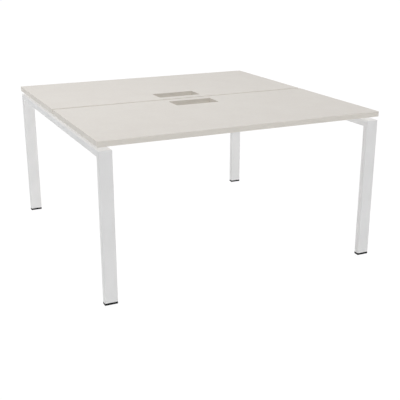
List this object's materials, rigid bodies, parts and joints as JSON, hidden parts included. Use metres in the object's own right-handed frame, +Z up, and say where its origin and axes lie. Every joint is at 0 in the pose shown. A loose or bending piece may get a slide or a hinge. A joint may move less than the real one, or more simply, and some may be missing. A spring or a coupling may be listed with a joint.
{
  "type": "bench desk",
  "caption": "Face-to-face bench desk: light grey worktops with cable cut-outs, back to back on white rectangular-tube portal frames with black levelling feet.",
  "frame": {"origin": "on the floor under the middle of the desk", "axes": "+X along the long edges, left to right as the front seat sees it, +Y from the front seat to the rear seat, +Z up"},
  "size_m": [1.4, 1.415, 0.732],
  "materials": {
    "melamine": "warm light grey melamine on board, fine matt texture",
    "edging": "plastic edging in the tone of the worktop",
    "powder_coat": "white satin powder coat on steel tube",
    "spacer_plastic": "white moulded plastic",
    "black_plastic": "black moulded plastic",
    "zinc_steel": "bright zinc plate"
  },
  "bodies": {
    "desk": {"worktop_front": "melamine", "edging_front": "edging", "cutout_lining_front": "edging", "worktop_rear": "melamine", "edging_rear": "edging", "cutout_lining_rear": "edging", "end_rail_left": "powder_coat", "end_rail_right": "powder_coat", "leg_front_left": "powder_coat", "leg_front_right": "powder_coat", "leg_rear_left": "powder_coat", "leg_rear_right": "powder_coat", "beam_front": "powder_coat", "beam_plate_front_left": "powder_coat", "beam_bolt_front_left_front": "zinc_steel", "beam_bolt_front_left_rear": "zinc_steel", "beam_plate_front_right": "powder_coat", "beam_bolt_front_right_front": "zinc_steel", "beam_bolt_front_right_rear": "zinc_steel", "beam_rear": "powder_coat", "beam_plate_rear_left": "powder_coat", "beam_bolt_rear_left_front": "zinc_steel", "beam_bolt_rear_left_rear": "zinc_steel", "beam_plate_rear_right": "powder_coat", "beam_bolt_rear_right_front": "zinc_steel", "beam_bolt_rear_right_rear": "zinc_steel", "spacer_front_beam": "spacer_plastic", "spacer_rear_beam": "spacer_plastic", "spacer_front_left_outer": "spacer_plastic", "spacer_front_left_inner": "spacer_plastic", "spacer_front_right_outer": "spacer_plastic", "spacer_front_right_inner": "spacer_plastic", "spacer_rear_left_outer": "spacer_plastic", "spacer_rear_left_inner": "spacer_plastic", "spacer_rear_right_outer": "spacer_plastic", "spacer_rear_right_inner": "spacer_plastic", "top_screw_front_beam": "zinc_steel", "top_screw_rear_beam": "zinc_steel", "top_screw_front_left_outer": "zinc_steel", "top_screw_front_left_inner": "zinc_steel", "top_screw_front_right_outer": "zinc_steel", "top_screw_front_right_inner": "zinc_steel", "top_screw_rear_left_outer": "zinc_steel", "top_screw_rear_left_inner": "zinc_steel", "top_screw_rear_right_outer": "zinc_steel", "top_screw_rear_right_inner": "zinc_steel", "foot_plug_front_left": "black_plastic", "foot_plug_front_right": "black_plastic", "foot_plug_rear_left": "black_plastic", "foot_plug_rear_right": "black_plastic"},
    "pad_front_left": {"foot_pad_front_left": "black_plastic"},
    "stem_front_left": {"foot_stem_front_left": "zinc_steel"},
    "pad_front_right": {"foot_pad_front_right": "black_plastic"},
    "stem_front_right": {"foot_stem_front_right": "zinc_steel"},
    "pad_rear_left": {"foot_pad_rear_left": "black_plastic"},
    "stem_rear_left": {"foot_stem_rear_left": "zinc_steel"},
    "pad_rear_right": {"foot_pad_rear_right": "black_plastic"},
    "stem_rear_right": {"foot_stem_rear_right": "zinc_steel"}
  },
  "joints": [
    {"name": "foot_travel_front_left", "type": "slide", "parent": "desk", "child": "pad_front_left", "axis": [0, 0, -1], "range_m": [0, 0.012]},
    {"name": "foot_turn_front_left", "type": "hinge", "parent": "pad_front_left", "child": "stem_front_left", "pos_m": [-0.667, -0.6915, 0.02], "axis": [0, 0, -1], "range_deg": [0, 2880]},
    {"name": "foot_travel_front_right", "type": "slide", "parent": "desk", "child": "pad_front_right", "axis": [0, 0, -1], "range_m": [0, 0.012]},
    {"name": "foot_turn_front_right", "type": "hinge", "parent": "pad_front_right", "child": "stem_front_right", "pos_m": [0.667, -0.6915, 0.02], "axis": [0, 0, -1], "range_deg": [0, 2880]},
    {"name": "foot_travel_rear_left", "type": "slide", "parent": "desk", "child": "pad_rear_left", "axis": [0, 0, -1], "range_m": [0, 0.012]},
    {"name": "foot_turn_rear_left", "type": "hinge", "parent": "pad_rear_left", "child": "stem_rear_left", "pos_m": [-0.667, 0.6915, 0.02], "axis": [0, 0, -1], "range_deg": [0, 2880]},
    {"name": "foot_travel_rear_right", "type": "slide", "parent": "desk", "child": "pad_rear_right", "axis": [0, 0, -1], "range_m": [0, 0.012]},
    {"name": "foot_turn_rear_right", "type": "hinge", "parent": "pad_rear_right", "child": "stem_rear_right", "pos_m": [0.667, 0.6915, 0.02], "axis": [0, 0, -1], "range_deg": [0, 2880]}
  ],
  "couplings": [
    {"joint": "foot_turn_front_left", "follows": "foot_travel_front_left", "rad_per_m": 4188.8},
    {"joint": "foot_turn_front_right", "follows": "foot_travel_front_right", "rad_per_m": 4188.8},
    {"joint": "foot_turn_rear_left", "follows": "foot_travel_rear_left", "rad_per_m": 4188.8},
    {"joint": "foot_turn_rear_right", "follows": "foot_travel_rear_right", "rad_per_m": 4188.8}
  ]
}
